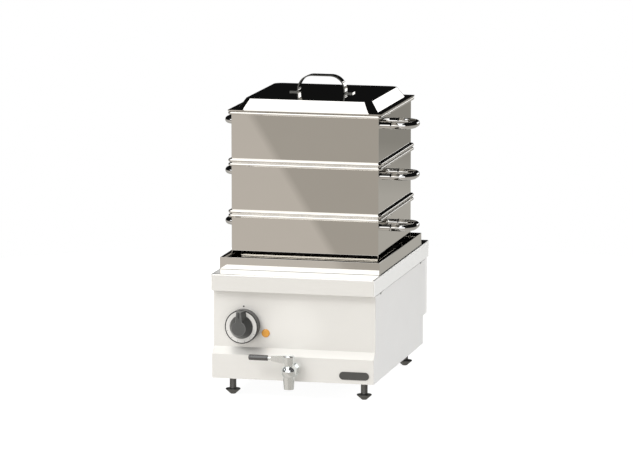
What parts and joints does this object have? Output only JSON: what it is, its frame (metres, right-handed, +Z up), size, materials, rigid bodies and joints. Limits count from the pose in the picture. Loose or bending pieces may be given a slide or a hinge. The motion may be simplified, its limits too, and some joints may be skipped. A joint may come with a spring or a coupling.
{
  "type": "electric food steamer",
  "caption": "Countertop electric steamer with a heated water tank cabinet, square stacked baskets, a lid, a control knob and a front drain valve.",
  "frame": {"origin": "on the table, below the middle of the box round the whole part at rest", "axes": "+X to the right as seen from the control side, +Y to the back, +Z up"},
  "size_m": [0.4788, 0.668, 0.7483],
  "materials": {
    "brushed_steel": "fine brushed stainless sheet",
    "mirror_steel": "bright polished stainless sheet",
    "galvanised_steel": "dull zinc coated sheet",
    "bright_tube": "polished round tube",
    "valve_chrome": "chrome plated brass",
    "black_plastic": "matt black thermoset",
    "grey_plastic": "pale grey moulding",
    "dial_cream": "printed pale dial face with plain ticks",
    "lamp_amber": "clear amber lens",
    "foot_grey": "dark zinc plated steel",
    "badge_dark": "dark bare plate",
    "gasket_rubber": "food safe rubber",
    "element_steel": "heat tinted sheath",
    "copper_pipe": "plain copper tube",
    "screw_steel": "plated screw"
  },
  "bodies": {
    "cabinet": {"worktop": "mirror_steel", "tank_collar": "mirror_steel", "tank_gasket": "gasket_rubber", "tank_flange": "mirror_steel", "water_tank": "mirror_steel", "side_panel_left": "brushed_steel", "side_panel_right": "brushed_steel", "rear_cover": "brushed_steel", "rear_panel": "brushed_steel", "base_plate": "galvanised_steel", "control_panel": "brushed_steel", "lower_front_panel": "brushed_steel", "badge_plate": "badge_dark", "lamp_lens": "lamp_amber", "lamp_body": "grey_plastic", "thermostat_body": "black_plastic", "safety_thermostat": "screw_steel", "contactor": "black_plastic", "terminal_block": "grey_plastic", "cable_gland": "black_plastic", "gland_nut": "black_plastic", "heating_element_left": "element_steel", "heating_element_right": "element_steel", "element_flange": "galvanised_steel", "drain_pipe": "copper_pipe", "valve_body": "valve_chrome", "valve_spout": "valve_chrome", "valve_locknut": "valve_chrome", "foot_bushes": "galvanised_steel", "panel_screws": "screw_steel", "knob_index": "black_plastic"},
    "knob": {"control_knob": "black_plastic", "dial_drum": "black_plastic", "dial_plate": "dial_cream", "thermostat_shaft": "screw_steel"},
    "lever": {"valve_lever": "valve_chrome", "valve_grip": "black_plastic", "valve_stem": "screw_steel", "valve_ball": "valve_chrome"},
    "foot_front_left_body": {"foot_front_left": "foot_grey"},
    "foot_front_right_body": {"foot_front_right": "foot_grey"},
    "foot_rear_left_body": {"foot_rear_left": "foot_grey"},
    "foot_rear_right_body": {"foot_rear_right": "foot_grey"},
    "bottom_tier": {"bottom_basket": "mirror_steel", "bottom_basket_floor": "mirror_steel", "bottom_handle_left": "bright_tube", "bottom_handle_right": "bright_tube"},
    "middle_tier": {"middle_basket": "mirror_steel", "middle_basket_floor": "mirror_steel", "middle_handle_left": "bright_tube", "middle_handle_right": "bright_tube"},
    "top_tier": {"top_basket": "mirror_steel", "top_basket_floor": "mirror_steel", "top_handle_left": "bright_tube", "top_handle_right": "bright_tube"},
    "lid_body": {"lid": "mirror_steel", "lid_ring": "mirror_steel", "lid_handle": "mirror_steel"}
  },
  "joints": [
    {"name": "knob_turn", "type": "hinge", "parent": "cabinet", "child": "knob", "pos_m": [-0.124, -0.28, 0.1755], "axis": [0, 1, 0], "range_deg": [0, 250]},
    {"name": "drain_lever_turn", "type": "hinge", "parent": "cabinet", "child": "lever", "pos_m": [0, -0.316, 0.078], "axis": [0, 0, 1], "range_deg": [0, 90]},
    {"name": "foot_front_left_screw", "type": "slide", "parent": "cabinet", "child": "foot_front_left_body", "axis": [0, 0, -1], "range_m": [0, 0.02]},
    {"name": "foot_front_right_screw", "type": "slide", "parent": "cabinet", "child": "foot_front_right_body", "axis": [0, 0, -1], "range_m": [0, 0.02]},
    {"name": "foot_rear_left_screw", "type": "slide", "parent": "cabinet", "child": "foot_rear_left_body", "axis": [0, 0, -1], "range_m": [0, 0.02]},
    {"name": "foot_rear_right_screw", "type": "slide", "parent": "cabinet", "child": "foot_rear_right_body", "axis": [0, 0, -1], "range_m": [0, 0.02]},
    {"name": "bottom_tier_lift", "type": "slide", "parent": "cabinet", "child": "bottom_tier", "axis": [0, 0, 1], "range_m": [0, 0.16]},
    {"name": "middle_tier_lift", "type": "slide", "parent": "bottom_tier", "child": "middle_tier", "axis": [0, 0, 1], "range_m": [0, 0.16]},
    {"name": "top_tier_lift", "type": "slide", "parent": "middle_tier", "child": "top_tier", "axis": [0, 0, 1], "range_m": [0, 0.16]},
    {"name": "lid_lift", "type": "slide", "parent": "top_tier", "child": "lid_body", "axis": [0, 0, 1], "range_m": [0, 0.16]}
  ]
}
